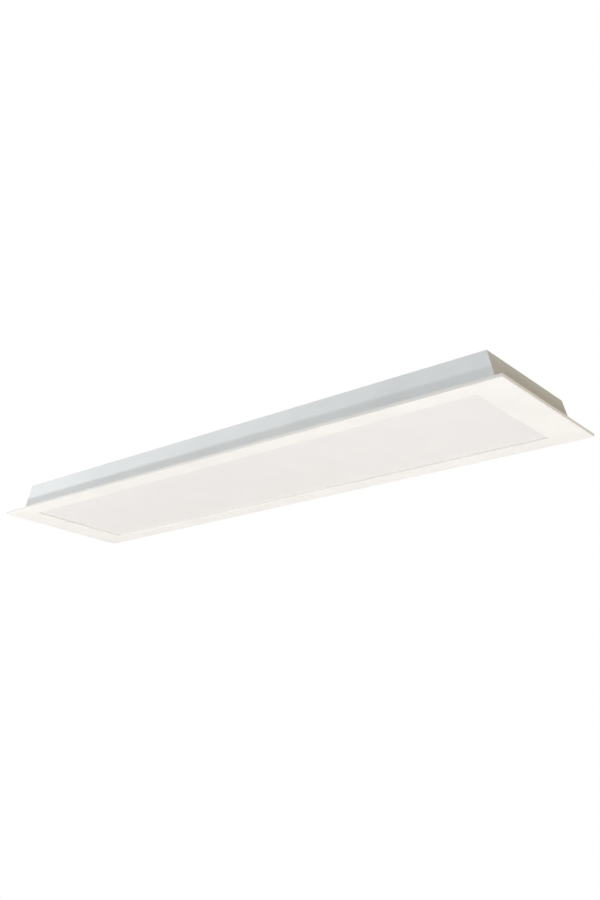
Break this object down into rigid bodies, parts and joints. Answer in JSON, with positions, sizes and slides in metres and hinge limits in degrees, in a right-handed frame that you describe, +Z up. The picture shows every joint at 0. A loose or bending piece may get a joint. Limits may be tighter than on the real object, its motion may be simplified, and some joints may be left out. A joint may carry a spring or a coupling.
{
  "type": "recessed ceiling light",
  "caption": "Shallow recessed ceiling luminaire: a sheet-metal housing with a mounting flange, closed from below by a hinged door frame that carries the opal diffuser.",
  "frame": {"origin": "centre of the underside, in the plane of the door frame's face", "axes": "+X along the length towards the driver end, +Y across towards the hinge side of the door, +Z up into the ceiling"},
  "size_m": [1.213, 0.298, 0.0692],
  "materials": {
    "white_paint": "satin white powder coat",
    "housing_paint": "matt white coil coat",
    "reflector_paint": "high-reflectance matt white",
    "opal": "opal, satin face",
    "zinc_steel": "zinc plated",
    "spring_steel": "blued spring steel",
    "driver_steel": "galvanized",
    "board_white": "white solder mask",
    "board_green": "green solder mask",
    "ivory_plastic": "moulded",
    "grey_plastic": "moulded",
    "orange_plastic": "moulded",
    "brass": "plain",
    "earth_green": "green dyed",
    "black_rubber": "moulded",
    "brown_insulation": "wire insulation",
    "blue_insulation": "wire insulation",
    "green_insulation": "wire insulation",
    "red_insulation": "wire insulation",
    "black_insulation": "wire insulation",
    "white_insulation": "wire insulation"
  },
  "bodies": {
    "housing": {"mounting_angle_near": "housing_paint", "mounting_angle_far": "housing_paint", "mounting_angle_left": "housing_paint", "mounting_angle_right": "housing_paint", "housing_body": "housing_paint", "end_plate_left": "housing_paint", "end_plate_right": "housing_paint", "hanger_plates": "zinc_steel", "housing_screws": "zinc_steel", "housing_hinge_leaf_left": "zinc_steel", "housing_hinge_leaf_right": "zinc_steel", "hinge_pin_left": "zinc_steel", "hinge_pin_right": "zinc_steel", "catch_springs": "spring_steel", "reflector_tray": "reflector_paint", "tray_spacers": "zinc_steel", "tray_screws": "zinc_steel", "end_reflector_left": "reflector_paint", "end_reflector_right": "reflector_paint", "reflector_screws": "zinc_steel", "led_board_near_left": "board_white", "led_board_near_right": "board_white", "led_board_far_left": "board_white", "led_board_far_right": "board_white", "board_screws": "zinc_steel", "board_connectors": "ivory_plastic", "board_links": "ivory_plastic", "driver_case": "driver_steel", "driver_cover": "driver_steel", "driver_circuit_board": "board_green", "driver_screws": "zinc_steel", "terminal_block": "grey_plastic", "terminal_contacts": "brass", "lever_pin": "zinc_steel", "terminal_screws": "zinc_steel", "earth_screw": "earth_green", "earth_washer": "zinc_steel", "lead_grommet": "black_rubber", "lead_clips": "ivory_plastic", "live_lead": "brown_insulation", "neutral_lead": "blue_insulation", "earth_lead": "green_insulation", "led_lead_positive": "red_insulation", "led_lead_negative": "black_insulation", "row_link_lead": "white_insulation", "access_hinge_leaf": "housing_paint", "access_hinge_pin": "zinc_steel"},
    "door": {"door_frame": "white_paint", "diffuser": "opal", "diffuser_clips": "spring_steel", "door_hinge_leaf_left": "zinc_steel", "door_hinge_leaf_right": "zinc_steel", "catch_strikes": "zinc_steel"},
    "lever_live": {"terminal_lever_live": "orange_plastic"},
    "lever_neutral": {"terminal_lever_neutral": "orange_plastic"},
    "lever_earth": {"terminal_lever_earth": "orange_plastic"},
    "access_cover": {"access_plate": "housing_paint"}
  },
  "joints": [
    {"name": "door_swing", "type": "hinge", "parent": "housing", "child": "door", "pos_m": [0, 0.1463, 0.00285], "axis": [1, 0, 0], "range_deg": [0, 90], "deforming": ["catch_springs"]},
    {"name": "live_lever_turn", "type": "hinge", "parent": "housing", "child": "lever_live", "pos_m": [-0.54187, 0.066, 0.0466], "axis": [0, 1, 0], "range_deg": [0, 85]},
    {"name": "neutral_lever_turn", "type": "hinge", "parent": "housing", "child": "lever_neutral", "pos_m": [-0.54187, 0.078, 0.0466], "axis": [0, 1, 0], "range_deg": [0, 85]},
    {"name": "earth_lever_turn", "type": "hinge", "parent": "housing", "child": "lever_earth", "pos_m": [-0.54187, 0.054, 0.0466], "axis": [0, 1, 0], "range_deg": [0, 85]},
    {"name": "access_plate_lift", "type": "hinge", "parent": "housing", "child": "access_cover", "pos_m": [-0.49937, 0, 0.0671], "axis": [0, 1, 0], "range_deg": [0, 110]}
  ]
}
